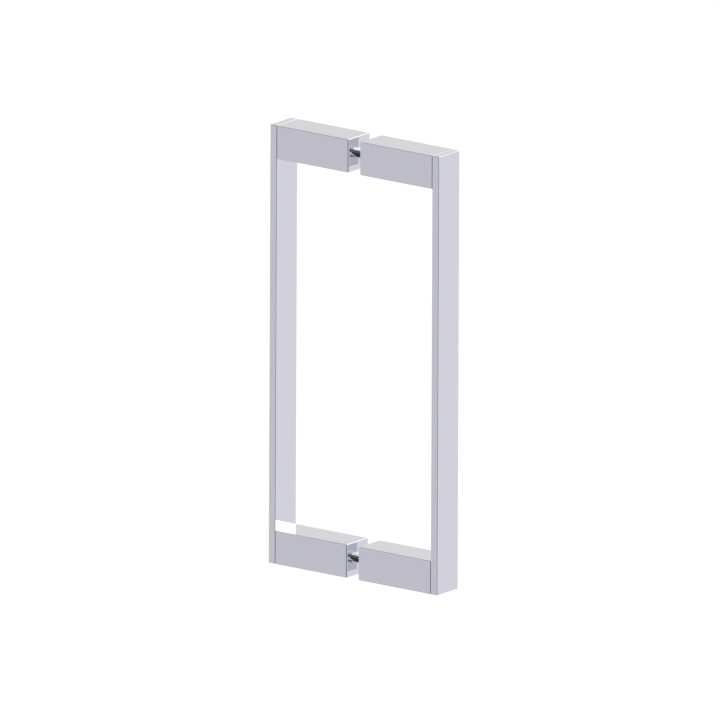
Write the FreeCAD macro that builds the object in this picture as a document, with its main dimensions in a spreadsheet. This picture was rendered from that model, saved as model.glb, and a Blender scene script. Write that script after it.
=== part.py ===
import FreeCAD, Part
import math
import os
import re
import Sketcher

# Back-to-back pull handle for a frameless glass shower door, in millimetres.
# +X points out of the shower through the door, +Y runs along the door and +Z is up.
# The origin is the middle of the door's glass, halfway between the two studs.

Vector = FreeCAD.Vector
document = FreeCAD.newDocument("ShowerDoorHandle")

# Driving dimensions

SIZES = [
    ("pull_height", 330, "height of each grip bar, and of the handle"),
    ("section_side", 25, "width of a bar and side of a square post"),
    ("bar_thickness", 6, "thickness of a grip bar"),
    ("post_length", 65, "from a seat plate to the back of the grip bar"),
    ("glass_thickness", 10, "thickness of the door's glass, between the seat plates"),
    ("seat_plate_thickness", 1, "thin plate between a post and the glass"),
    ("seat_plate_clearance", 0.5, "its hole over the stud"),
    ("edge_break", 0.35, "45 degree break on every polished edge"),
    ("stud_diameter", 8, "round stud through the glass"),
    ("stud_grip", 22, "length of a stud inside each post"),
    ("stud_clearance", 0.1, "a stud's bore over its diameter"),
    ("stud_chamfer", 0.75, "chamfer on a stud's ends"),
    ("groove_depth", 1, "depth of a stud's 90 degree groove"),
    ("set_screw_setback", 12, "from a post's end to a set screw's axis"),
    ("set_screw_diameter", 5, "set screw with a 90 degree cone point"),
    ("set_screw_tip", 0.5, "small flat on the tip of its point"),
    ("set_screw_recess", 1.45, "from a post's underside to the set screw"),
    ("set_screw_socket", 2.5, "across the flats of its hexagon socket"),
    ("set_screw_socket_depth", 3, "depth of its hexagon socket"),
    ("set_screw_mouth", 0.4, "lead-in at the mouth of its tapped hole"),
    ("point_gap", 0.05, "play between a cone and its groove"),
    ("screw_diameter", 4, "cap screw that holds a post to its bar"),
    ("screw_hole_clearance", 0.5, "its hole through the post over its diameter"),
    ("screw_seat", 12, "metal under the cap screw's head"),
    ("head_height", 4, "height of the cap screw's head"),
    ("head_clearance", 1.1, "stud's bore over the cap screw's head"),
    ("screw_socket", 3, "across the flats of its hexagon socket"),
    ("screw_socket_depth", 2, "depth of its hexagon socket"),
    ("thread_clearance", 0.1, "a tapped hole over its screw"),
    ("bar_skin", 1.5, "metal left under a bar's outer face"),
    ("end_clearance", 0.5, "space past a screw's or dowel's end"),
    ("dowel_diameter", 3, "dowel that keeps a post from turning"),
    ("dowel_reach", 4, "length of a dowel inside the post"),
    ("dowel_clearance", 0.02, "a dowel's hole over its diameter"),
    ("dowel_edge_distance", 4.5, "from a dowel's axis to the post's inward face"),
]

sheet = document.addObject("Spreadsheet::Sheet", "Sizes")
for row, (alias, amount, meaning) in enumerate(SIZES, start=1):
    sheet.set(f"A{row}", meaning)
    sheet.set(f"B{row}", str(amount))
    sheet.setAlias(f"B{row}", alias)
document.recompute()

# Sizes worked out from the driving dimensions, as formulas that several pieces share

STUD_LEVEL = "(pull_height - section_side) / 2"
GLASS_FACE = "(glass_thickness / 2)"
POST_START = f"({GLASS_FACE} + seat_plate_thickness)"
BAR_START = f"({POST_START} + post_length)"
STUD_BORE = "(stud_diameter + stud_clearance)"
STUD_BORE_DEPTH = "(post_length - screw_seat)"
GROOVE_PLACE = f"({POST_START} + set_screw_setback)"
POINT_REACH = "(stud_diameter / 2 - groove_depth + point_gap)"
SET_SCREW_LENGTH = f"(section_side / 2 - set_screw_recess - {POINT_REACH})"
BAR_HOLE_DEPTH = "(bar_thickness - bar_skin)"
REACH_IN_BAR = "(bar_thickness - bar_skin - end_clearance)"
DOWEL_OFFSET = "(section_side / 2 - dowel_edge_distance)"
HEAD_RADIUS = f"(({STUD_BORE} - head_clearance) / 2)"


def in_sizes(formula):
    """The formula with each name looked up in the sheet."""
    return re.sub(r"[a-z]\w*", lambda name: "Sizes." + name.group(), str(formula))


def amount_of(formula):
    """The formula's present value."""
    return float(sheet.evalExpression(str(formula)))


# Sketches

def new_body(label):
    body = document.addObject("PartDesign::Body", label)
    body.Label = label
    return body


def origin_feature(body, role):
    return next(feature for feature in body.Origin.OriginFeatures if feature.Role == role)


def new_sketch(body, name, plane, offset=None):
    """An empty sketch on one of the body's own origin planes, raised along its normal by a formula."""
    sketch = body.newObject("Sketcher::SketchObject", name)
    sketch.AttachmentSupport = [(origin_feature(body, plane), "")]
    sketch.MapMode = "FlatFace"
    if offset is not None:
        sketch.setExpression("AttachmentOffset.Base.z", in_sizes(offset))
    return sketch


def dimension(sketch, name, constraint, formula):
    """Adds a named dimension and ties it to the sheet."""
    index = sketch.addConstraint(constraint)
    sketch.renameConstraint(index, name)
    sketch.setExpression(f"Constraints.{name}", in_sizes(formula))


def place_point(sketch, name, geometry, end, across, up):
    """Dimensions one point from the sketch's origin. A place of 0 is held on the axis instead."""
    for direction, axis, way, formula in (("DistanceX", -2, "across", across), ("DistanceY", -1, "up", up)):
        if formula == 0:
            sketch.addConstraint(Sketcher.Constraint("PointOnObject", geometry, end, axis))
        else:
            distance = Sketcher.Constraint(direction, -1, 1, geometry, end, amount_of(formula))
            dimension(sketch, f"{name}_{way}", distance, formula)


def draw_rectangle(sketch, width, height):
    """A rectangle centred on the sketch's origin."""
    half_width = amount_of(width) / 2
    half_height = amount_of(height) / 2
    corners = [
        Vector(-half_width, -half_height, 0),
        Vector(half_width, -half_height, 0),
        Vector(half_width, half_height, 0),
        Vector(-half_width, half_height, 0),
    ]
    for start, end in zip(corners, corners[1:] + corners[:1]):
        sketch.addGeometry(Part.LineSegment(start, end), False)
    for line in range(4):
        sketch.addConstraint(Sketcher.Constraint("Coincident", line, 2, (line + 1) % 4, 1))
    for line, direction in enumerate(("Horizontal", "Vertical", "Horizontal", "Vertical")):
        sketch.addConstraint(Sketcher.Constraint(direction, line))
    sketch.addConstraint(Sketcher.Constraint("Symmetric", 0, 1, 1, 2, -1, 1))
    dimension(sketch, "width", Sketcher.Constraint("DistanceX", 0, 1, 0, 2, 2 * half_width), width)
    dimension(sketch, "height", Sketcher.Constraint("DistanceY", 1, 1, 1, 2, 2 * half_height), height)


def draw_circle(sketch, name, diameter, across=0, up=0):
    centre = Vector(amount_of(across), amount_of(up), 0)
    radius = amount_of(diameter) / 2
    circle = sketch.addGeometry(Part.Circle(centre, Vector(0, 0, 1), radius), False)
    place_point(sketch, name, circle, 3, across, up)
    dimension(sketch, f"{name}_diameter", Sketcher.Constraint("Diameter", circle, 2 * radius), diameter)


def draw_hexagon(sketch, across_flats):
    """A regular hexagon about the sketch's origin, with two level sides."""
    radius = amount_of(across_flats) / math.sqrt(3)
    corners = [
        Vector(radius * math.cos(math.radians(60 * turn)), radius * math.sin(math.radians(60 * turn)), 0)
        for turn in range(6)
    ]
    for start, end in zip(corners, corners[1:] + corners[:1]):
        sketch.addGeometry(Part.LineSegment(start, end), False)
    guide = sketch.addGeometry(Part.Circle(Vector(0, 0, 0), Vector(0, 0, 1), radius), True)
    sketch.addConstraint(Sketcher.Constraint("Coincident", guide, 3, -1, 1))
    for line in range(6):
        sketch.addConstraint(Sketcher.Constraint("Coincident", line, 2, (line + 1) % 6, 1))
        sketch.addConstraint(Sketcher.Constraint("PointOnObject", line, 1, guide))
    for line in range(1, 6):
        sketch.addConstraint(Sketcher.Constraint("Equal", 0, line))
    sketch.addConstraint(Sketcher.Constraint("Horizontal", 1))
    dimension(
        sketch,
        "across_flats",
        Sketcher.Constraint("Distance", 1, 1, 4, amount_of(across_flats)),
        across_flats,
    )


def draw_profile(sketch, points):
    """A closed outline through points given as (name, across, up) formulas."""
    places = [Vector(amount_of(across), amount_of(up), 0) for _, across, up in points]
    for start, end in zip(places, places[1:] + places[:1]):
        sketch.addGeometry(Part.LineSegment(start, end), False)
    count = len(points)
    for line in range(count):
        sketch.addConstraint(Sketcher.Constraint("Coincident", line, 2, (line + 1) % count, 1))
    for line, (name, across, up) in enumerate(points):
        place_point(sketch, name, line, 1, across, up)


# Features

def pad(body, name, sketch, length):
    feature = body.newObject("PartDesign::Pad", name)
    feature.Profile = sketch
    feature.setExpression("Length", in_sizes(length))
    document.recompute()
    return feature


def revolve(body, name, sketch, axis):
    feature = body.newObject("PartDesign::Revolution", name)
    feature.Profile = sketch
    feature.ReferenceAxis = (origin_feature(body, axis), [""])
    feature.Angle = 360
    document.recompute()
    return feature


def break_all_edges(body, base):
    feature = body.newObject("PartDesign::Chamfer", "BrokenEdges")
    feature.Base = (base, [""])
    feature.UseAllEdges = True
    feature.setExpression("Size", in_sizes("edge_break"))
    document.recompute()
    return feature


def drill(
    body, name, sketch, diameter, depth=None, into_normal=True, counterbore=None, countersink=None
):
    """A plain hole with a flat end. depth None goes right through.

    counterbore is (diameter, depth) and countersink is the width of a 45 degree lead-in.
    """
    before = body.Shape.Volume
    hole = body.newObject("PartDesign::Hole", name)
    hole.Profile = sketch
    hole.Reversed = into_normal
    hole.ThreadType = "None"
    hole.DrillPoint = "Flat"
    if depth is None:
        hole.DepthType = "ThroughAll"
    else:
        hole.DepthType = "Dimension"
        hole.setExpression("Depth", in_sizes(depth))
    hole.setExpression("Diameter", in_sizes(diameter))
    if counterbore is not None:
        hole.HoleCutType = "Counterbore"
        hole.HoleCutCustomValues = True
        hole.setExpression("HoleCutDiameter", in_sizes(counterbore[0]))
        hole.setExpression("HoleCutDepth", in_sizes(counterbore[1]))
    if countersink is not None:
        hole.HoleCutType = "Countersink"
        hole.HoleCutCustomValues = True
        hole.HoleCutCountersinkAngle = 90
        hole.setExpression("HoleCutDiameter", in_sizes(f"{diameter} + 2 * {countersink}"))
    document.recompute()
    if body.Shape.Volume >= before:
        raise RuntimeError(f"{body.Label}: {name} cuts nothing")
    return hole


def sink_socket(body, sketch, depth, into_normal=True):
    before = body.Shape.Volume
    socket = body.newObject("PartDesign::Pocket", "HexagonSocket")
    socket.Profile = sketch
    socket.Reversed = into_normal
    socket.setExpression("Length", in_sizes(depth))
    document.recompute()
    if body.Shape.Volume >= before:
        raise RuntimeError(f"{body.Label}: the socket cuts nothing")
    return socket


def place(body, side, along=0, up=0):
    """Sets a body on one side of the door: 1 is outside the shower, and -1 is the same turned about."""
    turn = 0 if side > 0 else 180
    body.Placement = FreeCAD.Placement(
        Vector(side * amount_of(along), 0, amount_of(up)),
        FreeCAD.Rotation(Vector(0, 0, 1), turn),
    )
    if along != 0:
        body.setExpression("Placement.Base.x", in_sizes(f"{side} * {along}"))
    if up != 0:
        body.setExpression("Placement.Base.z", in_sizes(up))


# Pieces. Each is drawn as on the outer side, with +X away from the glass.

def grip_bar(label, side):
    """A flat bar with all its edges broken, tapped and drilled from the back for its two posts."""
    body = new_body(label)
    outline = new_sketch(body, "Outline", "YZ_Plane")
    draw_rectangle(outline, "section_side", "pull_height")
    slab = pad(body, "Slab", outline, "bar_thickness")
    break_all_edges(body, slab)
    tapped = new_sketch(body, "TappedCentres", "YZ_Plane")
    dowelled = new_sketch(body, "DowelCentres", "YZ_Plane")
    for name, level in (("upper", 1), ("lower", -1)):
        draw_circle(tapped, name, "screw_diameter", 0, f"{level} * {STUD_LEVEL}")
        draw_circle(dowelled, name, "dowel_diameter", 0, f"{level} * ({STUD_LEVEL} - {DOWEL_OFFSET})")
    drill(body, "TappedHoles", tapped, "(screw_diameter + thread_clearance)", BAR_HOLE_DEPTH)
    drill(body, "DowelHoles", dowelled, "(dowel_diameter + dowel_clearance)", BAR_HOLE_DEPTH)
    place(body, side, BAR_START)
    return body


def post(label, side, level):
    """A square post. Its stepped bore takes the stud at the glass end and seats the cap screw's head."""
    body = new_body(label)
    outline = new_sketch(body, "Outline", "YZ_Plane")
    draw_rectangle(outline, "section_side", "section_side")
    block = pad(body, "Block", outline, "post_length")
    break_all_edges(body, block)

    bore = new_sketch(body, "BoreCentre", "YZ_Plane")
    draw_circle(bore, "bore", "screw_diameter")
    drill(
        body,
        "SteppedBore",
        bore,
        "(screw_diameter + screw_hole_clearance)",
        counterbore=(STUD_BORE, STUD_BORE_DEPTH),
    )

    dowel = new_sketch(body, "DowelCentre", "YZ_Plane", offset="post_length")
    draw_circle(dowel, "dowel", "dowel_diameter", 0, f"-{level} * {DOWEL_OFFSET}")
    drill(
        body,
        "DowelHole",
        dowel,
        "(dowel_diameter + dowel_clearance)",
        "(dowel_reach + end_clearance)",
        into_normal=False,
    )

    tapped = new_sketch(body, "SetScrewCentre", "XY_Plane", offset="-section_side / 2")
    draw_circle(tapped, "tapped", "set_screw_diameter", "set_screw_setback")
    drill(
        body,
        "SetScrewHole",
        tapped,
        "(set_screw_diameter + thread_clearance)",
        "section_side / 2",
        countersink="set_screw_mouth",
    )
    place(body, side, POST_START, f"{level} * {STUD_LEVEL}")
    return body


def seat_plate(label, side, level):
    """A thin square plate with sharp edges, flush with its post all round, that lies on the glass."""
    body = new_body(label)
    outline = new_sketch(body, "Outline", "YZ_Plane")
    draw_rectangle(outline, "section_side", "section_side")
    pad(body, "Plate", outline, "seat_plate_thickness")
    centre = new_sketch(body, "HoleCentre", "YZ_Plane")
    draw_circle(centre, "hole", "stud_diameter")
    drill(body, "StudHole", centre, "(stud_diameter + seat_plate_clearance)")
    place(body, side, GLASS_FACE, f"{level} * {STUD_LEVEL}")
    return body


def stud(label, level):
    """A turned stud with chamfered ends and a 90 degree groove for each set screw's point."""
    body = new_body(label)
    half = f"({POST_START} + stud_grip)"
    radius = "stud_diameter / 2"
    points = [("start", f"-{half}", 0)]
    points.append(("start_rim", f"-{half}", f"{radius} - stud_chamfer"))
    points.append(("start_shoulder", f"-{half} + stud_chamfer", radius))
    for name, side in (("inner", -1), ("outer", 1)):
        middle = f"{side} * {GROOVE_PLACE}"
        points.append((f"{name}_near", f"{middle} - groove_depth", radius))
        points.append((f"{name}_root", middle, f"{radius} - groove_depth"))
        points.append((f"{name}_far", f"{middle} + groove_depth", radius))
    points.append(("end_shoulder", f"{half} - stud_chamfer", radius))
    points.append(("end_rim", half, f"{radius} - stud_chamfer"))
    points.append(("end", half, 0))
    outline = new_sketch(body, "Outline", "XY_Plane")
    draw_profile(outline, points)
    revolve(body, "Turned", outline, "X_Axis")
    place(body, 1, 0, f"{level} * {STUD_LEVEL}")
    return body


def post_screw(label, side, level):
    """A socket head cap screw, whose head stands on the step in the post's bore."""
    body = new_body(label)
    shank = "screw_diameter / 2"
    length = f"(screw_seat + {REACH_IN_BAR})"
    points = [
        ("head_top", "-head_height", 0),
        ("head_rim", "-head_height", HEAD_RADIUS),
        ("head_under", 0, HEAD_RADIUS),
        ("neck", 0, shank),
        ("tip_rim", length, shank),
        ("tip", length, 0),
    ]
    outline = new_sketch(body, "Outline", "XY_Plane")
    draw_profile(outline, points)
    revolve(body, "Turned", outline, "X_Axis")
    hexagon = new_sketch(body, "Hexagon", "YZ_Plane", offset="-head_height")
    draw_hexagon(hexagon, "screw_socket")
    sink_socket(body, hexagon, "screw_socket_depth")
    place(body, side, f"({POST_START} + {STUD_BORE_DEPTH})", f"{level} * {STUD_LEVEL}")
    return body


def post_dowel(label, side, level):
    """A parallel dowel across the seam, half in the post and half in the bar."""
    body = new_body(label)
    circle = new_sketch(body, "Circle", "YZ_Plane", offset="-dowel_reach")
    draw_circle(circle, "dowel", "dowel_diameter")
    pad(body, "Rod", circle, f"dowel_reach + {REACH_IN_BAR}")
    place(body, side, BAR_START, f"{level} * ({STUD_LEVEL} - {DOWEL_OFFSET})")
    return body


def set_screw(label, side, level):
    """A headless screw, point up. Its origin is where the cone would end in a sharp point."""
    body = new_body(label)
    radius = "set_screw_diameter / 2"
    tip = "set_screw_tip / 2"
    points = [
        ("tip", 0, f"-{tip}"),
        ("tip_rim", tip, f"-{tip}"),
        ("cone_base", radius, f"-{radius}"),
        ("socket_rim", radius, f"-{SET_SCREW_LENGTH}"),
        ("socket_centre", 0, f"-{SET_SCREW_LENGTH}"),
    ]
    outline = new_sketch(body, "Outline", "XZ_Plane")
    draw_profile(outline, points)
    revolve(body, "Turned", outline, "Z_Axis")
    hexagon = new_sketch(body, "Hexagon", "XY_Plane", offset=f"-{SET_SCREW_LENGTH}")
    draw_hexagon(hexagon, "set_screw_socket")
    sink_socket(body, hexagon, "set_screw_socket_depth")
    place(body, side, GROOVE_PLACE, f"{level} * {STUD_LEVEL} - {POINT_REACH}")
    return body


SIDES = (("outer", 1), ("inner", -1))
LEVELS = (("upper", 1), ("lower", -1))

pieces = []
for side_name, side in SIDES:
    pieces.append(grip_bar(f"{side_name}_grip_bar", side))
    for level_name, level in LEVELS:
        corner = f"{side_name}_{level_name}"
        pieces.append(seat_plate(f"{corner}_seat_plate", side, level))
        pieces.append(post(f"{corner}_post", side, level))
        pieces.append(post_screw(f"{corner}_post_screw", side, level))
        pieces.append(post_dowel(f"{corner}_post_dowel", side, level))
        pieces.append(set_screw(f"{corner}_set_screw", side, level))
for level_name, level in LEVELS:
    pieces.append(stud(f"{level_name}_stud", level))
document.recompute()

# Checks and export

for thing in document.Objects:
    if "Invalid" in thing.State or "Error" in thing.State:
        raise RuntimeError(f"{thing.Label} failed: {thing.State}")
for piece in pieces:
    if piece.Shape.isNull() or not piece.Shape.isValid() or len(piece.Shape.Solids) != 1:
        raise RuntimeError(f"{piece.Label} is not one valid solid")

os.makedirs("parts", exist_ok=True)
for piece in pieces:
    piece.Shape.exportStep(f"parts/{piece.Label}.step")
    box = piece.Shape.BoundBox
    print(
        f"{piece.Label:24s} {piece.Shape.Volume:10.1f} mm3"
        f"  x {box.XMin:8.2f} {box.XMax:8.2f}  y {box.YMin:7.2f} {box.YMax:7.2f}"
        f"  z {box.ZMin:8.2f} {box.ZMax:8.2f}"
    )
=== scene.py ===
import math

import bpy
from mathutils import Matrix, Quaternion, Vector


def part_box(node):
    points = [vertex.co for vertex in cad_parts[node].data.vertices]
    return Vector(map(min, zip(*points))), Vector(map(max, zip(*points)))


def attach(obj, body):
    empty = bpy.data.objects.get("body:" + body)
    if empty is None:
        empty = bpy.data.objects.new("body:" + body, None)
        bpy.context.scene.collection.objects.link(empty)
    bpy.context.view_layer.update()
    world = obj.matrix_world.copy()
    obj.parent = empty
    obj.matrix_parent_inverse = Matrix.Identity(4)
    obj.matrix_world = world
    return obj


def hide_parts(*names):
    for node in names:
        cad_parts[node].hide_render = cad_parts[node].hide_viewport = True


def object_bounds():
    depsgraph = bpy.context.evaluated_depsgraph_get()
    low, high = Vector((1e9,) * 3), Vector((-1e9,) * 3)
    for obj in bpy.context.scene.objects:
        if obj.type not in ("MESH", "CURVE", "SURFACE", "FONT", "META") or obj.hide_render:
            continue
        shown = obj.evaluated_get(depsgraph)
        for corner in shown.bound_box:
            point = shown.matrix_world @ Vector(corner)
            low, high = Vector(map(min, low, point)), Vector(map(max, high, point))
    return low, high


# The looks of a back-to-back pull handle for a glass shower door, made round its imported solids.
# +X points out of the shower through the door, +Y runs along the door and +Z is up.

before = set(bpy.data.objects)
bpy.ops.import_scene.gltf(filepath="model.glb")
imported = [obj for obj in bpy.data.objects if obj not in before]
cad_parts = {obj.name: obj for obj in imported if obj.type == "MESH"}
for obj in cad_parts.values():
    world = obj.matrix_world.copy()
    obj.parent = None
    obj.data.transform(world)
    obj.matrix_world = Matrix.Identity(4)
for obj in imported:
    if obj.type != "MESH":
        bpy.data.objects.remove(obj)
solid_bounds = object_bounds()

# Sizes, in metres. The frame gives the places and outer sizes, and these give the rest.

MM = 0.001

# A cutter goes PAST the metal that it cuts, and a shank that far into its head. A blank is OVERSIZE on the
# piece that it trims. Points merge within TOLERANCE while a piece is made, and within SLIVER_WIDTH once it
# is cut.
PAST = 1 * MM
OVERSIZE = 0.02 * MM
TOLERANCE = 0.0001 * MM
SLIVER_WIDTH = 0.001 * MM

# Turns that lay what was made upright along X, and stand what was made along X upright.
ALONG_X = (0, math.pi / 2, 0)
UPRIGHT = (0, -math.pi / 2, 0)

SMOOTH_ANGLE = math.radians(30)
EDGE_STEPS = 6
BAR_EDGE = 0.38 * MM
POST_EDGE = 0.33 * MM
POST_FREE_END_EDGE = 0.43 * MM
POST_BAR_END_EDGE = 0.58 * MM
PLATE_EDGE = 0.05 * MM
PLATE_EDGE_STEPS = 2
PLATE_INSET = 0.34 * MM
ROUND_STEPS = 96
THREAD_STEPS = 60

STUD_CHAMFER = 0.75 * MM
GROOVE_DEPTH = 1 * MM
STUD_BORE = 8.1 * MM

SCREW_DIAMETER = 4 * MM
SCREW_PITCH = 0.7 * MM
SCREW_HOLE = 4.5 * MM
SCREW_SOCKET = 3 * MM
SCREW_SOCKET_DEPTH = 2 * MM
HEAD_HEIGHT = 4 * MM
HEAD_EDGE = 0.4 * MM
KNURL_TEETH = 36

SET_SCREW_DIAMETER = 5 * MM
SET_SCREW_PITCH = 0.8 * MM
SET_SCREW_SOCKET = 2.5 * MM
SET_SCREW_SOCKET_DEPTH = 3 * MM
SET_SCREW_TIP = 0.5 * MM
SET_SCREW_MOUTH = 0.4 * MM

THREAD_CLEARANCE = 0.1 * MM
BELOW_ROOT = 0.1 * MM
END_CLEARANCE = 0.5 * MM
BAR_HOLE_DEPTH = 4.5 * MM
DOWEL_HOLE = 3.02 * MM
DOWEL_CHAMFER = 0.4 * MM
DOWEL_DOME = 0.5 * MM
DOME_STEPS = 5

# Shares: a thread's depth of its pitch, a knurl's depth of its head's radius, a socket's cone of its
# width across flats, and the flat of a dowel's dome of the dowel's radius.
THREAD_DEPTH = 0.5413
KNURL_DEPTH = 0.04
SOCKET_CONE = 0.25
DOME_FLAT = 0.5

bar_low, bar_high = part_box("outer_grip_bar")
plate_low, plate_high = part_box("outer_upper_seat_plate")
post_low, post_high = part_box("outer_upper_post")
stud_low, stud_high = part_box("upper_stud")
screw_low, screw_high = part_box("outer_upper_post_screw")
dowel_low, dowel_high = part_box("outer_upper_post_dowel")
set_screw_low, set_screw_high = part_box("outer_upper_set_screw")

stud_level = (stud_low.z + stud_high.z) / 2
stud_radius = (stud_high.z - stud_low.z) / 2
head_seat = screw_low.x + HEAD_HEIGHT
head_radius = (screw_high.z - screw_low.z) / 2
dowel_level = (dowel_low.z + dowel_high.z) / 2
dowel_radius = (dowel_high.z - dowel_low.z) / 2
set_screw_place = (set_screw_low.x + set_screw_high.x) / 2
set_screw_length = set_screw_high.z - set_screw_low.z


# Modelling

def choose(piece):
    """Makes one piece the only one that is selected, and active."""
    bpy.ops.object.select_all(action="DESELECT")
    piece.select_set(True)
    bpy.context.view_layer.objects.active = piece


def settle(piece):
    """Puts a piece's place and turn into its mesh."""
    choose(piece)
    bpy.ops.object.transform_apply(location=True, rotation=True, scale=True)


def apply_modifier(piece, modifier):
    choose(piece)
    bpy.ops.object.modifier_apply(modifier=modifier.name)


def rounded_block(name, low, high, along, low_end, high_end, steps=EDGE_STEPS):
    """A block between two corners, with one rounding for its edges along X and one for each X end."""
    bpy.ops.object.select_all(action="DESELECT")
    bpy.ops.mesh.primitive_cube_add(size=1, location=(low + high) / 2, scale=high - low)
    block = bpy.context.object
    block.name = name
    settle(block)
    largest = max(along, low_end, high_end)
    middle = (low.x + high.x) / 2
    weights = block.data.attributes.new("bevel_weight_edge", "FLOAT", "EDGE")
    for edge, weight in zip(block.data.edges, weights.data):
        ends = [block.data.vertices[corner].co.x for corner in edge.vertices]
        if min(ends) < middle < max(ends):
            rounding = along
        elif max(ends) < middle:
            rounding = low_end
        else:
            rounding = high_end
        weight.value = rounding / largest
    bevel = block.modifiers.new("Rounded", "BEVEL")
    bevel.limit_method = "WEIGHT"
    bevel.width = largest
    bevel.segments = steps
    bevel.use_clamp_overlap = False
    apply_modifier(block, bevel)
    return block


def traced_line(name, profile):
    """A chain of edges through (along, radius) points, drawn by extruding one vertex to each in turn."""
    points = [Vector((along, 0, radius)) for along, radius in profile]
    bpy.ops.object.select_all(action="DESELECT")
    bpy.ops.mesh.primitive_plane_add(size=MM)
    line = bpy.context.object
    line.name = name
    bpy.ops.object.mode_set(mode="EDIT")
    bpy.ops.mesh.select_mode(type="VERT")
    bpy.ops.mesh.select_all(action="SELECT")
    bpy.ops.mesh.merge(type="CENTER")
    bpy.ops.transform.translate(value=points[0])
    for start, end in zip(points, points[1:]):
        bpy.ops.mesh.extrude_region_move(TRANSFORM_OT_translate={"value": end - start})
    bpy.ops.object.mode_set(mode="OBJECT")
    return line


def wind(piece, steps, turns=1, pitch=0.0):
    """Winds a traced line about X, and joins its turns."""
    screw = piece.modifiers.new("Wound", "SCREW")
    screw.axis = "X"
    screw.steps = steps
    screw.render_steps = steps
    screw.iterations = turns
    screw.screw_offset = pitch
    apply_modifier(piece, screw)
    bpy.ops.object.mode_set(mode="EDIT")
    bpy.ops.mesh.select_all(action="SELECT")
    bpy.ops.mesh.remove_doubles(threshold=TOLERANCE)
    bpy.ops.mesh.normals_make_consistent(inside=False)
    bpy.ops.object.mode_set(mode="OBJECT")


def turned(name, profile):
    """A solid turned about X from a profile that starts and ends on the axis."""
    piece = traced_line(name, profile)
    wind(piece, ROUND_STEPS)
    return piece


def threaded(name, diameter, pitch, start, end):
    """A rod along X with a 60 degree thread and flat ends.

    Its helix is at the same places whatever the ends are, so a screw fits the hole that such a rod cuts.
    It is wound too long at both ends, and each end is then cut flat. A quarter of the pitch is flat at the
    root, and an eighth at the crest.
    """
    crest = diameter / 2
    root = crest - THREAD_DEPTH * pitch
    first = (math.floor(start / pitch) - 2) * pitch
    ridge = ((0, root), (4 / 16, root), (9 / 16, crest), (11 / 16, crest), (1, root))
    rod = traced_line(name, [(first + share * pitch, radius) for share, radius in ridge])
    wind(rod, THREAD_STEPS, turns=math.ceil((end - first) / pitch) + 1, pitch=pitch)
    bpy.ops.object.mode_set(mode="EDIT")
    for plane, side in ((start, {"clear_inner": True}), (end, {"clear_outer": True})):
        bpy.ops.mesh.select_all(action="SELECT")
        bpy.ops.mesh.bisect(
            plane_co=(plane, 0, 0), plane_no=(1, 0, 0), use_fill=True, threshold=TOLERANCE, **side
        )
    bpy.ops.mesh.select_all(action="SELECT")
    bpy.ops.mesh.normals_make_consistent(inside=False)
    bpy.ops.object.mode_set(mode="OBJECT")
    return rod


def combine(piece, other, operation):
    """Cuts, joins or trims a piece with another, and clears the other away."""
    boolean = piece.modifiers.new("Combined", "BOOLEAN")
    boolean.operation = operation
    boolean.solver = "EXACT"
    boolean.object = other
    apply_modifier(piece, boolean)
    bpy.data.objects.remove(other)


def move(piece, place, turn=(0, 0, 0)):
    piece.location = place
    piece.rotation_euler = turn
    settle(piece)


def copy_of(piece, name, place, turn):
    """A copy with its own mesh, turned about the handle's upright axis and then moved."""
    twin = piece.copy()
    twin.data = piece.data.copy()
    twin.name = name
    bpy.context.collection.objects.link(twin)
    move(twin, place, (0, 0, turn))
    return twin


def drill(piece, start, stages, level):
    """Drills a hole along X with flat ends. Each stage goes on to an end, at a diameter of its own."""
    profile = [(start, 0)]
    for end, diameter in stages:
        profile += [(start, diameter / 2), (end, diameter / 2)]
        start = end
    cutter = turned("cutter", profile + [(start, 0)])
    move(cutter, (0, 0, level))
    combine(piece, cutter, "DIFFERENCE")


def sink_hexagon(piece, start, depth, across_flats):
    """Sinks a hexagon socket along X, with the hollow cone that its drill leaves at the bottom."""
    bpy.ops.object.select_all(action="DESELECT")
    bpy.ops.mesh.primitive_cylinder_add(
        vertices=6,
        radius=across_flats / math.sqrt(3),
        depth=depth + PAST,
        location=(start + (depth - PAST) / 2, 0, 0),
        rotation=ALONG_X,
    )
    punch = bpy.context.object
    settle(punch)
    choose_faces(punch, lambda face: face.center.x > start + depth - PAST)
    cone = across_flats * SOCKET_CONE
    bpy.ops.mesh.extrude_region_move(TRANSFORM_OT_translate={"value": (cone, 0, 0)})
    bpy.ops.mesh.merge(type="CENTER")
    bpy.ops.object.mode_set(mode="OBJECT")
    combine(piece, punch, "DIFFERENCE")


def choose_faces(piece, test):
    """Goes to edit mode with only the faces selected that pass a test."""
    choose(piece)
    bpy.ops.object.mode_set(mode="EDIT")
    bpy.ops.mesh.select_mode(type="FACE")
    bpy.ops.mesh.select_all(action="DESELECT")
    bpy.ops.object.mode_set(mode="OBJECT")
    for face in piece.data.polygons:
        face.select = test(face)
    bpy.ops.object.mode_set(mode="EDIT")


def clear_slivers(piece):
    """Merges points that lie together, and takes away the faces of no width that cuts leave."""
    choose(piece)
    bpy.ops.object.mode_set(mode="EDIT")
    bpy.ops.mesh.select_mode(type="VERT")
    bpy.ops.mesh.select_all(action="SELECT")
    bpy.ops.mesh.remove_doubles(threshold=SLIVER_WIDTH)
    bpy.ops.mesh.dissolve_degenerate(threshold=SLIVER_WIDTH)
    bpy.ops.object.mode_set(mode="OBJECT")


def finish_piece(piece, slot, *nodes):
    """Smooths the rounded faces, keeps the flat ones true, and stands the piece for its nodes."""
    clear_slivers(piece)
    choose(piece)
    bpy.ops.object.shade_smooth_by_angle(angle=SMOOTH_ANGLE)
    weights = piece.modifiers.new("TrueFlats", "WEIGHTED_NORMAL")
    weights.weight = 100
    weights.keep_sharp = True
    apply_modifier(piece, weights)
    piece.data.materials.clear()
    piece.data.materials.append(finishes[slot])
    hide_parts(*nodes)
    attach(piece, "root")


# Shaders

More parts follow.
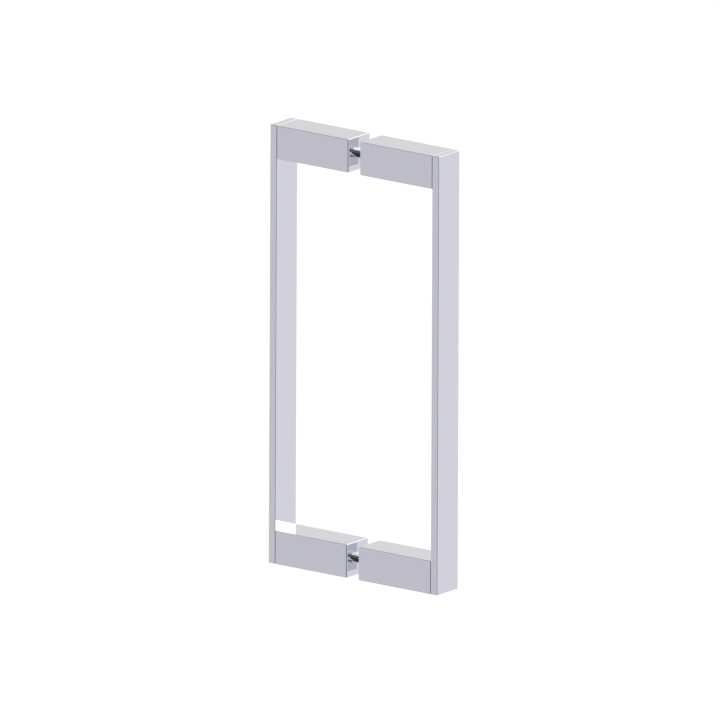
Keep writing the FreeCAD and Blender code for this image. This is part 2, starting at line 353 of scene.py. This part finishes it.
class Wire:
    """A socket that Python's arithmetic works on. Each operation adds a Math node."""

    def __init__(self, shader, socket):
        self.shader = shader
        self.socket = socket

    def __add__(self, other):
        return self.shader.maths("ADD", self, other)

    __radd__ = __add__

    def __sub__(self, other):
        return self.shader.maths("SUBTRACT", self, other)

    def __rsub__(self, other):
        return self.shader.maths("SUBTRACT", other, self)

    def __mul__(self, other):
        return self.shader.maths("MULTIPLY", self, other)

    __rmul__ = __mul__

    def out(self, name):
        """Another output of the same node, by its name or its place."""
        return Wire(self.shader, self.socket.node.outputs[name])


class Shader:
    """A node tree that starts empty."""

    def __init__(self, tree):
        self.tree = tree
        tree.nodes.clear()

    def node(self, kind, settings=None, **sockets):
        """Adds a node. Its settings come first, and then its sockets.

        A socket is given by its name, with _ for a space, or by its place, such as at_0.
        """
        made = self.tree.nodes.new(kind)
        for name, value in (settings or {}).items():
            setattr(made, name, value)
        for name, value in sockets.items():
            number = name.removeprefix("at_")
            socket = made.inputs[int(number) if number.isdigit() else name.replace("_", " ")]
            if isinstance(value, Wire):
                self.tree.links.new(value.socket, socket)
            else:
                socket.default_value = value
        return Wire(self, made.outputs[0]) if made.outputs else made

    def maths(self, operation, first, second):
        return self.node("ShaderNodeMath", {"operation": operation}, at_0=first, at_1=second)

    def ramp(self, value, start, end, low=0.0, high=1.0):
        """A smooth step from low to high as the value goes from start to end."""
        return self.node(
            "ShaderNodeMapRange",
            {"interpolation_type": "SMOOTHSTEP"},
            Value=value,
            From_Min=start,
            From_Max=end,
            To_Min=low,
            To_Max=high,
        )

    def mix(self, factor, first, second):
        """A blend of two colours. A Mix node has its colours at sockets 6 and 7, and its result at 2."""
        made = self.node("ShaderNodeMix", {"data_type": "RGBA"}, at_0=factor, at_6=first, at_7=second)
        return made.out(2)


# Materials

CHROME = (0.95, 0.95, 0.96, 1.0)
STUD_CHROME = (0.93, 0.93, 0.94, 1.0)

# The share of its colour that the chrome keeps where it is clouded.
CLOUDED = 0.985


def chrome(name, base, grain):
    """Mirror chrome with faint polishing lines. grain is the scale of the lines along each axis."""
    material = bpy.data.materials.new(name)
    material.use_nodes = True
    shader = Shader(material.node_tree)
    place = shader.node("ShaderNodeTexCoord").out("Object")
    stretched = shader.node("ShaderNodeMapping", Vector=place, Scale=grain)
    lines = shader.node("ShaderNodeTexNoise", Vector=stretched, Scale=1.0, Detail=3.0)
    cloud = shader.node("ShaderNodeTexNoise", Vector=place, Scale=60.0, Detail=2.0)
    deeper = tuple(CLOUDED * part for part in base[:3]) + (1.0,)
    colour = shader.mix(cloud, base, deeper)
    skin = shader.node("ShaderNodeBump", Strength=0.05, Distance=0.002 * MM, Height=lines)
    surface = shader.node(
        "ShaderNodeBsdfPrincipled",
        Base_Color=colour,
        Metallic=1.0,
        Roughness=0.015 + 0.02 * lines + 0.01 * cloud,
        Normal=skin,
    )
    shader.node("ShaderNodeOutputMaterial", Surface=surface)
    return material


def steel(name, light, dark, grain, dullness):
    """Unpolished steel, clouded between two colours, with fine marks along its grain."""
    material = bpy.data.materials.new(name)
    material.use_nodes = True
    shader = Shader(material.node_tree)
    place = shader.node("ShaderNodeTexCoord").out("Object")
    stretched = shader.node("ShaderNodeMapping", Vector=place, Scale=grain)
    marks = shader.node("ShaderNodeTexNoise", Vector=stretched, Scale=1.0, Detail=4.0)
    cloud = shader.node("ShaderNodeTexNoise", Vector=place, Scale=700.0, Detail=3.0)
    skin = shader.node("ShaderNodeBump", Strength=0.3, Distance=0.01 * MM, Height=marks)
    surface = shader.node(
        "ShaderNodeBsdfPrincipled",
        Base_Color=shader.mix(cloud, light, dark),
        Metallic=1.0,
        Roughness=dullness + 0.10 * marks + 0.06 * cloud,
        Normal=skin,
    )
    shader.node("ShaderNodeOutputMaterial", Surface=surface)
    return material


finishes = {
    "bar_chrome": chrome("mirror_bar", CHROME, grain=(4000.0, 4000.0, 60.0)),
    "post_chrome": chrome("mirror_post", CHROME, grain=(60.0, 4000.0, 4000.0)),
    "plate_chrome": chrome("mirror_plate", CHROME, grain=(2500.0, 1200.0, 1200.0)),
    "stud_chrome": chrome("mirror_stud", STUD_CHROME, grain=(9000.0, 40.0, 40.0)),
    "zinc_plated_screw": steel(
        "zinc_plate",
        light=(0.66, 0.67, 0.69, 1.0),
        dark=(0.55, 0.57, 0.58, 1.0),
        grain=(2500.0, 2500.0, 2500.0),
        dullness=0.24,
    ),
    "ground_dowel": steel(
        "ground_steel",
        light=(0.60, 0.60, 0.60, 1.0),
        dark=(0.54, 0.54, 0.54, 1.0),
        grain=(15000.0, 60.0, 60.0),
        dullness=0.18,
    ),
    "stainless_set_screw": steel(
        "bare_stainless",
        light=(0.58, 0.57, 0.56, 1.0),
        dark=(0.50, 0.49, 0.48, 1.0),
        grain=(60.0, 60.0, 15000.0),
        dullness=0.26,
    ),
}


# Pieces. Each is modelled on the outer side, most at the upper level, and copied to where it repeats.

LEVELS = (("upper", 1), ("lower", -1))
SIDES = (("outer", 0), ("inner", math.pi))


def grip_bar():
    """A flat bar, tapped for its two cap screws and drilled for its two dowels from the back."""
    bar = rounded_block("bar", bar_low, bar_high, BAR_EDGE, BAR_EDGE, BAR_EDGE)
    back, floor_of_hole = bar_low.x - PAST, bar_low.x + BAR_HOLE_DEPTH
    for _, level in LEVELS:
        tap = threaded("tap", SCREW_DIAMETER + THREAD_CLEARANCE, SCREW_PITCH, back, floor_of_hole)
        move(tap, (0, 0, level * stud_level))
        combine(bar, tap, "DIFFERENCE")
        drill(bar, back, [(floor_of_hole, DOWEL_HOLE)], level * dowel_level)
    return bar


def post(level):
    """A square post with its stepped bore, its dowel's hole and its tapped hole in the underside."""
    half_height = (post_high.z - post_low.z) / 2
    bottom = level * stud_level - half_height
    low = Vector((post_low.x, post_low.y, bottom))
    high = Vector((post_high.x, post_high.y, level * stud_level + half_height))
    block = rounded_block("post", low, high, POST_EDGE, POST_FREE_END_EDGE, POST_BAR_END_EDGE)
    through = post_high.x + PAST
    drill(block, post_low.x - PAST, [(head_seat, STUD_BORE), (through, SCREW_HOLE)], level * stud_level)
    drill(block, dowel_low.x - END_CLEARANCE, [(through, DOWEL_HOLE)], level * dowel_level)

    recess = set_screw_low.z - post_low.z
    hole = SET_SCREW_DIAMETER + THREAD_CLEARANCE
    tap = threaded("tap", hole, SET_SCREW_PITCH, -recess - PAST, stud_level - set_screw_low.z)
    foot = (set_screw_place, 0, bottom + recess)
    move(tap, foot, UPRIGHT)
    combine(block, tap, "DIFFERENCE")
    mouth = turned("mouth", [
        (-recess - PAST, 0),
        (-recess - PAST, hole / 2 + SET_SCREW_MOUTH + PAST),
        (-recess + SET_SCREW_MOUTH + PAST, hole / 2 - PAST),
        (-recess + SET_SCREW_MOUTH + PAST, 0),
    ])
    move(mouth, foot, UPRIGHT)
    combine(block, mouth, "DIFFERENCE")
    return block


def seat_plate():
    """A thin square plate with crisp edges, a hair smaller than its post and bored for the stud."""
    inset = Vector((0, PLATE_INSET, PLATE_INSET))
    low, high = plate_low + inset, plate_high - inset
    plate = rounded_block("plate", low, high, PLATE_EDGE, PLATE_EDGE, PLATE_EDGE, PLATE_EDGE_STEPS)
    drill(plate, low.x - PAST, [(high.x + PAST, STUD_BORE)], stud_level)
    return plate


def stud():
    """A turned stud with chamfered ends and a V groove for each set screw."""
    profile = [
        (stud_low.x, 0),
        (stud_low.x, stud_radius - STUD_CHAMFER),
        (stud_low.x + STUD_CHAMFER, stud_radius),
    ]
    for middle in (-set_screw_place, set_screw_place):
        profile += [
            (middle - GROOVE_DEPTH, stud_radius),
            (middle, stud_radius - GROOVE_DEPTH),
            (middle + GROOVE_DEPTH, stud_radius),
        ]
    profile += [
        (stud_high.x - STUD_CHAMFER, stud_radius),
        (stud_high.x, stud_radius - STUD_CHAMFER),
        (stud_high.x, 0),
    ]
    piece = turned("stud", profile)
    move(piece, (0, 0, stud_level))
    return piece


def knurled_head():
    """A cap screw's head, whose straight knurl is drawn in at every second edge."""
    bpy.ops.object.select_all(action="DESELECT")
    bpy.ops.mesh.primitive_cylinder_add(
        vertices=2 * KNURL_TEETH,
        radius=head_radius,
        depth=HEAD_HEIGHT,
        location=(head_seat - HEAD_HEIGHT / 2, 0, 0),
        rotation=ALONG_X,
    )
    head = bpy.context.object
    settle(head)
    bpy.ops.object.mode_set(mode="EDIT")
    bpy.ops.mesh.select_mode(type="VERT")
    bpy.ops.mesh.select_all(action="DESELECT")
    bpy.ops.object.mode_set(mode="OBJECT")
    for corner in head.data.vertices:
        tooth = math.atan2(corner.co.z, corner.co.y) * KNURL_TEETH / math.pi
        corner.select = round(tooth) % 2 == 1
    bpy.ops.object.mode_set(mode="EDIT")
    inward = 1 - KNURL_DEPTH
    bpy.ops.transform.resize(value=(1, inward, inward), center_override=(head_seat, 0, 0))
    bpy.ops.object.mode_set(mode="OBJECT")
    round_over = head_radius + OVERSIZE
    blank = turned("blank", [
        (screw_low.x, 0),
        (screw_low.x, round_over - HEAD_EDGE),
        (screw_low.x + HEAD_EDGE, round_over),
        (head_seat + PAST, round_over),
        (head_seat + PAST, 0),
    ])
    combine(head, blank, "INTERSECT")
    return head


def post_screw():
    """A socket head cap screw with a knurled head and a threaded shank."""
    shank = threaded("shank", SCREW_DIAMETER, SCREW_PITCH, head_seat - PAST, screw_high.x)
    point = THREAD_DEPTH * SCREW_PITCH + BELOW_ROOT
    over = SCREW_DIAMETER / 2 + OVERSIZE
    blank = turned("blank", [
        (screw_low.x, 0),
        (screw_low.x, over),
        (screw_high.x - point, over),
        (screw_high.x, over - point),
        (screw_high.x, 0),
    ])
    combine(shank, blank, "INTERSECT")
    screw = knurled_head()
    combine(screw, shank, "UNION")
    sink_hexagon(screw, screw_low.x, SCREW_SOCKET_DEPTH, SCREW_SOCKET)
    move(screw, (0, 0, stud_level))
    return screw


def post_dowel():
    """A ground dowel with one end chamfered and the other domed."""
    profile = [
        (dowel_low.x, 0),
        (dowel_low.x, dowel_radius - DOWEL_CHAMFER),
        (dowel_low.x + DOWEL_CHAMFER, dowel_radius),
    ]
    for step in range(DOME_STEPS + 1):
        turn = math.pi / 2 * step / DOME_STEPS
        profile.append((
            dowel_high.x - DOWEL_DOME * (1 - math.sin(turn)),
            dowel_radius * (DOME_FLAT + (1 - DOME_FLAT) * math.cos(turn)),
        ))
    profile.append((dowel_high.x, 0))
    dowel = turned("dowel", profile)
    move(dowel, (0, 0, dowel_level))
    return dowel


def set_screw():
    """A headless screw with a cone point, its hexagon socket at the bottom."""
    radius = SET_SCREW_DIAMETER / 2
    over = radius + OVERSIZE
    screw = threaded("set_screw", SET_SCREW_DIAMETER, SET_SCREW_PITCH, 0, set_screw_length)
    lead = THREAD_DEPTH * SET_SCREW_PITCH + BELOW_ROOT
    blank = turned("blank", [
        (0, 0),
        (0, over - lead),
        (lead, over),
        (set_screw_length - (over - SET_SCREW_TIP / 2), over),
        (set_screw_length, SET_SCREW_TIP / 2),
        (set_screw_length, 0),
    ])
    combine(screw, blank, "INTERSECT")
    sink_hexagon(screw, 0, SET_SCREW_SOCKET_DEPTH, SET_SCREW_SOCKET)
    move(screw, (set_screw_place, 0, set_screw_low.z), UPRIGHT)
    return screw


def set_out(piece, kind, slot, drop):
    """Copies a piece to all four corners of the handle. drop is how far down the lower ones are."""
    for side_name, turn in SIDES:
        for level_name, fall in (("upper", 0), ("lower", drop)):
            node = f"{side_name}_{level_name}_{kind}"
            finish_piece(copy_of(piece, f"{node}_finished", (0, 0, -fall), turn), slot, node)
    bpy.data.objects.remove(piece)


outer_bar = grip_bar()
for side_name, turn in SIDES:
    bar = copy_of(outer_bar, f"{side_name}_grip_bar_finished", (0, 0, 0), turn)
    finish_piece(bar, "bar_chrome", f"{side_name}_grip_bar")
bpy.data.objects.remove(outer_bar)

for level_name, level in LEVELS:
    outer_post = post(level)
    for side_name, turn in SIDES:
        node = f"{side_name}_{level_name}_post"
        finish_piece(copy_of(outer_post, f"{node}_finished", (0, 0, 0), turn), "post_chrome", node)
    bpy.data.objects.remove(outer_post)

upper_stud = stud()
for level_name, fall in (("upper", 0), ("lower", 2 * stud_level)):
    piece = copy_of(upper_stud, f"{level_name}_stud_finished", (0, 0, -fall), 0)
    finish_piece(piece, "stud_chrome", f"{level_name}_stud")
bpy.data.objects.remove(upper_stud)

set_out(seat_plate(), "seat_plate", "plate_chrome", 2 * stud_level)
set_out(post_screw(), "post_screw", "zinc_plated_screw", 2 * stud_level)
set_out(post_dowel(), "post_dowel", "ground_dowel", 2 * dowel_level)
set_out(set_screw(), "set_screw", "stainless_set_screw", 2 * stud_level)


# Studio

WHITE = (1, 1, 1, 1)
TABLE = (0.543, 0.538, 0.608, 1)
TABLE_BY_SWEEP = (0.681, 0.675, 0.740, 1)
TABLE_BEYOND = (0.460, 0.455, 0.535, 1)
TABLE_UNDER = (0.13, 0.13, 0.15, 1)
DARK_WALLS = (0.10, 0.10, 0.13, 1)
PALE_WALLS = (0.707, 0.707, 0.727, 1)
SWEEP = (1.4, 1.4, 1.4, 1)
CEILING_INSIDE = (0.47, 0.47, 0.51, 1)
CEILING_OUTSIDE = (1.02, 1.02, 1.05, 1)
FLAG = (0.03, 0.03, 0.04, 1)

# The way to the shaded part of the table, which the studs mirror from below.
UNDER_LINE = (-0.583, 0.21, -0.785)

FLOOR_SIZE = 12
FLOOR_DROP = 0.05 * MM


def studio_world():
    """What the chrome reflects: a pale table, a dark room round the camera, and a bright sweep behind.

    The sweep is wide at the top and narrow below, and a black flag stands under the camera. Angles are in
    degrees, and a height is the upward part of a direction, from 0 at the horizon to 1 overhead.
    """
    world = bpy.data.worlds.new("studio")
    bpy.context.scene.world = world
    world.use_nodes = True
    shader = Shader(world.node_tree)
    ray = shader.node("ShaderNodeTexCoord").out("Generated")
    parts = shader.node("ShaderNodeSeparateXYZ", Vector=ray)
    height = parts.out("Z")
    flat = shader.node("ShaderNodeVectorMath", {"operation": "MULTIPLY"}, at_0=ray, at_1=(1, 1, 0))
    compass = shader.node("ShaderNodeVectorMath", {"operation": "NORMALIZE"}, at_0=flat)

    def near(vector, line, inner, outer):
        """1 within inner degrees of a line, and 0 past outer degrees."""
        made = shader.node("ShaderNodeVectorMath", {"operation": "DOT_PRODUCT"}, at_0=vector, at_1=line)
        return shader.ramp(made.out("Value"), math.cos(math.radians(outer)), math.cos(math.radians(inner)))

    def toward(azimuth, inner, outer):
        """The same round the compass, for an azimuth counted from +X."""
        turn = math.radians(azimuth)
        return near(compass, (math.cos(turn), math.sin(turn), 0), inner, outer)

    def above(level, soft):
        """0 below a height and 1 above it, with a soft line between."""
        return shader.ramp(height, level - soft, level + soft)

    table = shader.mix(toward(53, 35, 75), TABLE, TABLE_BY_SWEEP)
    table = shader.mix(toward(127, 15, 28), table, TABLE_BEYOND)
    table = shader.mix(near(ray, UNDER_LINE, 30, 44), table, TABLE_UNDER)
    walls = shader.mix(toward(90, 75, 105), DARK_WALLS, PALE_WALLS)
    around = shader.mix(above(-0.01, 0.07), table, walls)
    for sweep in (toward(60, 28, 46) * above(0.48, 0.06), toward(57, 8, 14) * above(0.10, 0.06)):
        around = shader.mix(sweep, around, SWEEP)
    ceiling = shader.mix(shader.ramp(parts.out("X"), -0.25, 0.25), CEILING_INSIDE, CEILING_OUTSIDE)
    behind = shader.ramp(parts.out("Y"), -0.55, -0.15)
    around = shader.mix(above(0.62, 0.08) * behind, around, ceiling)
    flag = toward(-53, 34, 54) * (1 - above(0.09, 0.05))
    seen = shader.mix(flag, around, FLAG)
    backdrop = shader.mix(shader.node("ShaderNodeLightPath").out("Is Camera Ray"), seen, WHITE)
    light = shader.node("ShaderNodeBackground", Color=backdrop, Strength=1.0)
    shader.node("ShaderNodeOutputWorld", Surface=light)


def floor():
    """A plain white floor under the handle, which the chrome doesn't mirror. It is clear from below."""
    bpy.ops.object.select_all(action="DESELECT")
    level = solid_bounds[0].z - FLOOR_DROP
    bpy.ops.mesh.primitive_plane_add(size=FLOOR_SIZE, location=(0, 0, level))
    ground = bpy.context.object
    ground.name = "floor"
    settle(ground)
    material = bpy.data.materials.new("floor_paint")
    material.use_nodes = True
    shader = Shader(material.node_tree)
    surface = shader.node(
        "ShaderNodeBsdfPrincipled",
        Base_Color=(0.1, 0.1, 0.1, 1),
        Roughness=1.0,
        Specular_IOR_Level=0.0,
        Emission_Color=WHITE,
        Emission_Strength=1.0,
    )
    below = shader.node("ShaderNodeNewGeometry").out("Backfacing")
    clear = shader.node("ShaderNodeBsdfTransparent")
    paint = shader.node("ShaderNodeMixShader", at_0=below, at_1=surface, at_2=clear)
    shader.node("ShaderNodeOutputMaterial", Surface=paint)
    ground.data.materials.append(material)
    ground.visible_glossy = False


studio_world()
floor()


# Camera

PIXELS_ACROSS = 720
PIXELS_DOWN = 721
PIXELS_PER_METRE = 1373.0
MIDDLE_ACROSS = 364.07
MIDDLE_DOWN = 356.46
AZIMUTH = math.radians(37.06)
ELEVATION = math.radians(14.67)
ROLL = math.radians(0.23)
DISTANCE = 1.2


def camera():
    """A camera without perspective, because the photo shows none."""
    data = bpy.data.cameras.new("camera")
    data.type = "ORTHO"
    data.ortho_scale = PIXELS_DOWN / PIXELS_PER_METRE
    viewer = bpy.data.objects.new("camera", data)
    bpy.context.scene.collection.objects.link(viewer)
    back = Vector((
        math.sin(AZIMUTH) * math.cos(ELEVATION),
        -math.cos(AZIMUTH) * math.cos(ELEVATION),
        math.sin(ELEVATION),
    ))
    upright = (-back).to_track_quat("-Z", "Y")
    rolled = upright @ Quaternion((0, 0, 1), ROLL)
    viewer.rotation_mode = "QUATERNION"
    viewer.rotation_quaternion = rolled
    right = rolled @ Vector((1, 0, 0))
    up = rolled @ Vector((0, 1, 0))
    aside = (MIDDLE_ACROSS - PIXELS_ACROSS / 2) / PIXELS_PER_METRE
    above = (PIXELS_DOWN / 2 - MIDDLE_DOWN) / PIXELS_PER_METRE
    viewer.location = back * DISTANCE - right * aside - up * above
    bpy.context.scene.camera = viewer


camera()
bpy.context.scene.view_settings.view_transform = "Standard"
